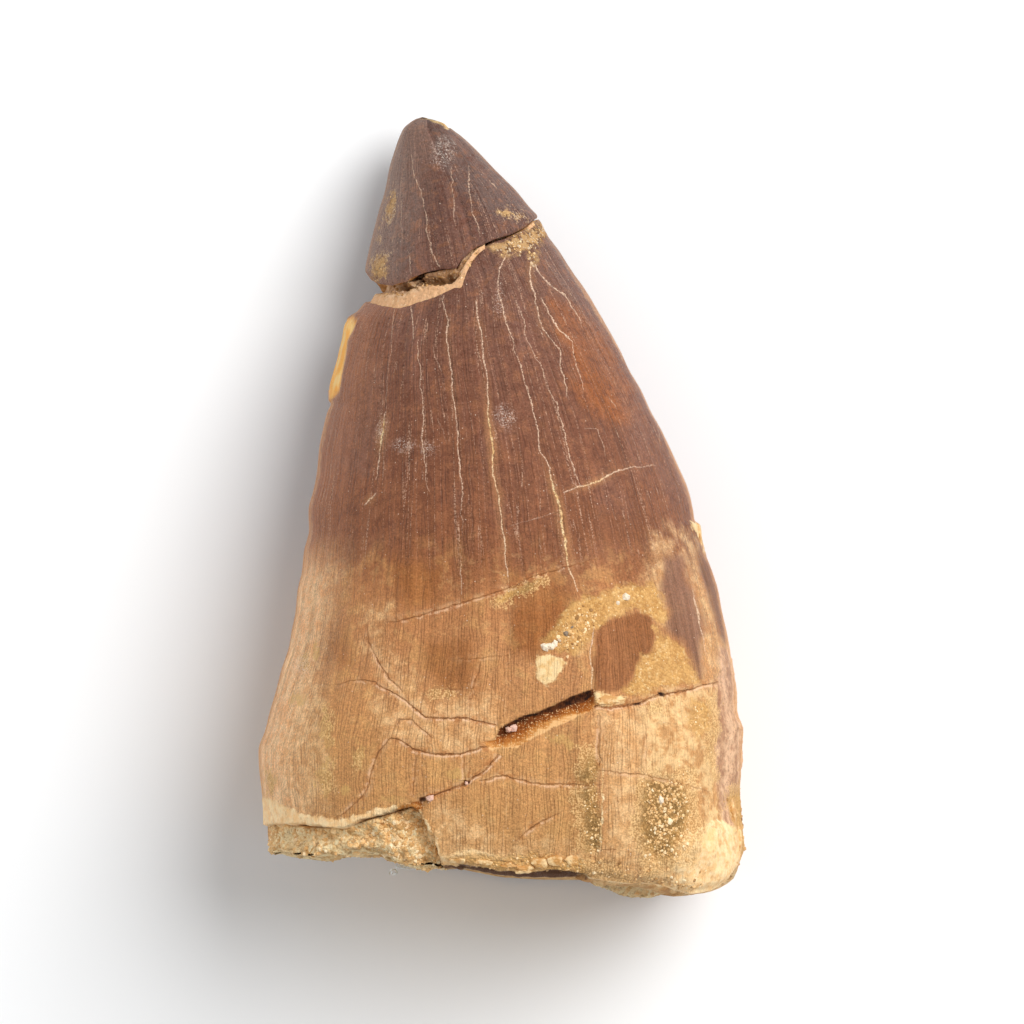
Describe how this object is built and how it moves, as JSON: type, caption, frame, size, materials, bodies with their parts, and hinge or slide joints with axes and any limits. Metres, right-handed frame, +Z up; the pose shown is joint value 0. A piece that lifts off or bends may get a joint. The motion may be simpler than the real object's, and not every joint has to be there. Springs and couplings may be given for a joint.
{
  "type": "fossil mosasaur tooth",
  "caption": "Conical fossil tooth crown lying on its back, with a re-seated broken tip, cracked enamel and sandy sediment in its root end.",
  "frame": {"origin": "on the table, under the middle of the tooth's bounding box", "axes": "+Y from the broken base to the tip, +Z up from the table through the crest of the visible face, +X to the right seen from above with the tip away from the viewer"},
  "size_m": [0.0316, 0.0499, 0.0227],
  "materials": {
    "enamel_brown": "satin striated fossil enamel, purple-brown above and golden tan below, cracked",
    "tip_enamel": "glossy grey-brown fossil enamel",
    "break_cement": "matt sandy cement",
    "base_sediment": "matt phosphatic sand"
  },
  "bodies": {
    "root": {"crown_body": "enamel_brown", "crown_tip": "tip_enamel", "tip_break_cement": "break_cement", "base_sediment": "base_sediment"}
  },
  "joints": []
}
